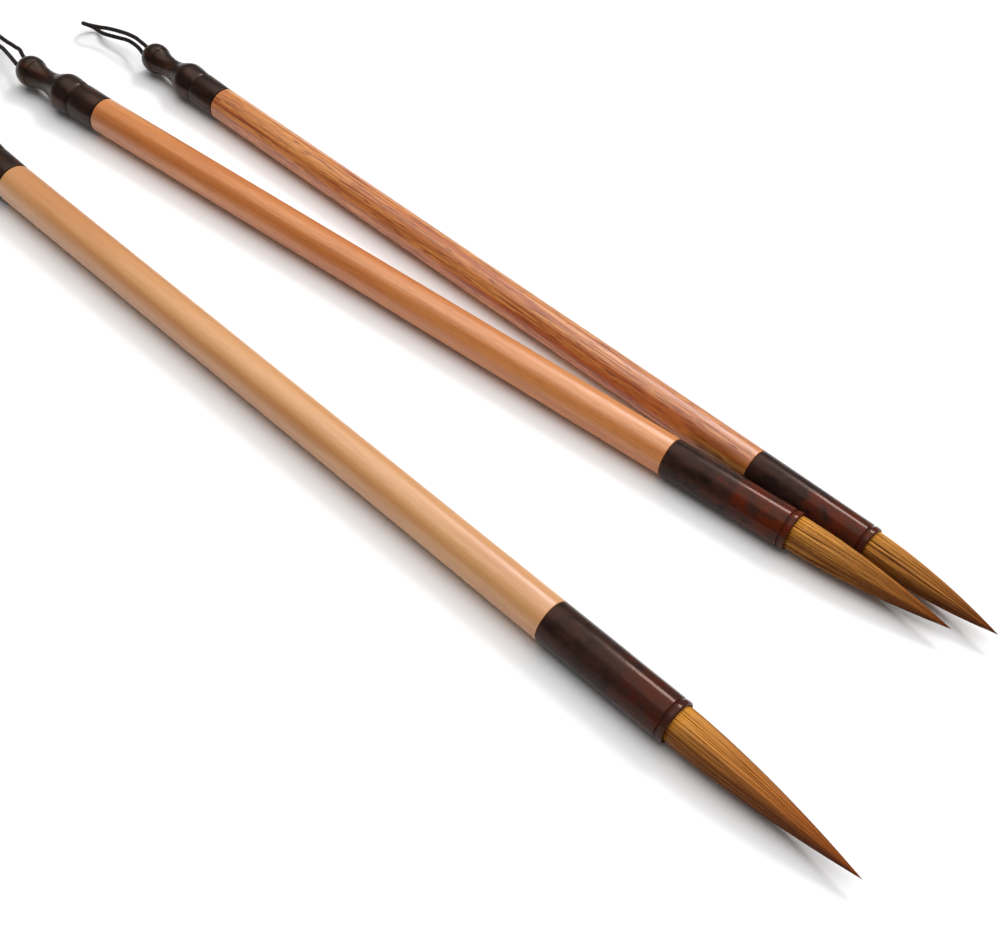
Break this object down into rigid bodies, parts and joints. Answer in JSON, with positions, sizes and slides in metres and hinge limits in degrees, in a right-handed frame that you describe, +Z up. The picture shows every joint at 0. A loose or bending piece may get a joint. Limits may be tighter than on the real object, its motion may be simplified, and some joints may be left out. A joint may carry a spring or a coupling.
{
  "type": "calligraphy brush set",
  "caption": "Calligraphy brushes of graded size lying side by side, each with a gourd finial and cord loop, a bamboo handle, a grooved ferrule and hair drawn in to a point.",
  "frame": {"origin": "on the table, at the middle of the footprint of the brushes without their cord loops", "axes": "+X along the brushes from the finials to the hair, +Y to their left as seen from the finials, +Z up"},
  "size_m": [0.3547, 0.0862, 0.0118],
  "materials": {
    "bamboo": "smooth bamboo with a soft sheen",
    "finial_wood": "dark stained hardwood, satin",
    "ferrule_horn": "dark brown horn-like, polished",
    "hair": "golden brown animal hair",
    "glued_hair": "hair set in glue",
    "thread": "wound binding thread",
    "cord": "dark brown braided cord"
  },
  "bodies": {
    "front_brush": {"front_finial": "finial_wood", "front_end_cap": "finial_wood", "front_cord_knot": "cord", "front_hanging_loop": "cord", "front_handle": "bamboo", "front_ferrule": "ferrule_horn", "front_tuft_root": "glued_hair", "front_thread_band": "thread"},
    "front_tuft": {"front_tuft": "hair"},
    "middle_brush": {"middle_finial": "finial_wood", "middle_end_cap": "finial_wood", "middle_cord_knot": "cord", "middle_hanging_loop": "cord", "middle_handle": "bamboo", "middle_ferrule": "ferrule_horn", "middle_tuft_root": "glued_hair", "middle_thread_band": "thread"},
    "middle_tuft": {"middle_tuft": "hair"},
    "rear_brush": {"rear_finial": "finial_wood", "rear_end_cap": "finial_wood", "rear_cord_knot": "cord", "rear_hanging_loop": "cord", "rear_handle": "bamboo", "rear_ferrule": "ferrule_horn", "rear_tuft_root": "glued_hair", "rear_thread_band": "thread"},
    "rear_tuft": {"rear_tuft": "hair"}
  },
  "joints": [
    {"name": "middle_lift", "type": "slide", "parent": "front_brush", "child": "middle_brush", "axis": [0, 0, 1], "range_m": [0, 0.15]},
    {"name": "rear_lift", "type": "slide", "parent": "front_brush", "child": "rear_brush", "axis": [0, 0, 1], "range_m": [0, 0.15]},
    {"name": "front_tuft_flex", "type": "hinge", "parent": "front_brush", "child": "front_tuft", "pos_m": [0.11488, -0.03785, 0.00525], "axis": [-0.0366, -0.9993, 0], "range_deg": [0, 45], "stiffness_Nm_per_rad": 0.002, "deforming": ["front_tuft"]},
    {"name": "middle_tuft_flex", "type": "hinge", "parent": "middle_brush", "child": "middle_tuft", "pos_m": [0.10178, 0.02425, 0.00495], "axis": [0.0701, -0.9975, 0], "range_deg": [0, 45], "stiffness_Nm_per_rad": 0.002, "deforming": ["middle_tuft"]},
    {"name": "rear_tuft_flex", "type": "hinge", "parent": "rear_brush", "child": "rear_tuft", "pos_m": [0.11664, 0.03411, 0.0046], "axis": [-0.0157, -0.9999, 0], "range_deg": [0, 45], "stiffness_Nm_per_rad": 0.002, "deforming": ["rear_tuft"]}
  ]
}
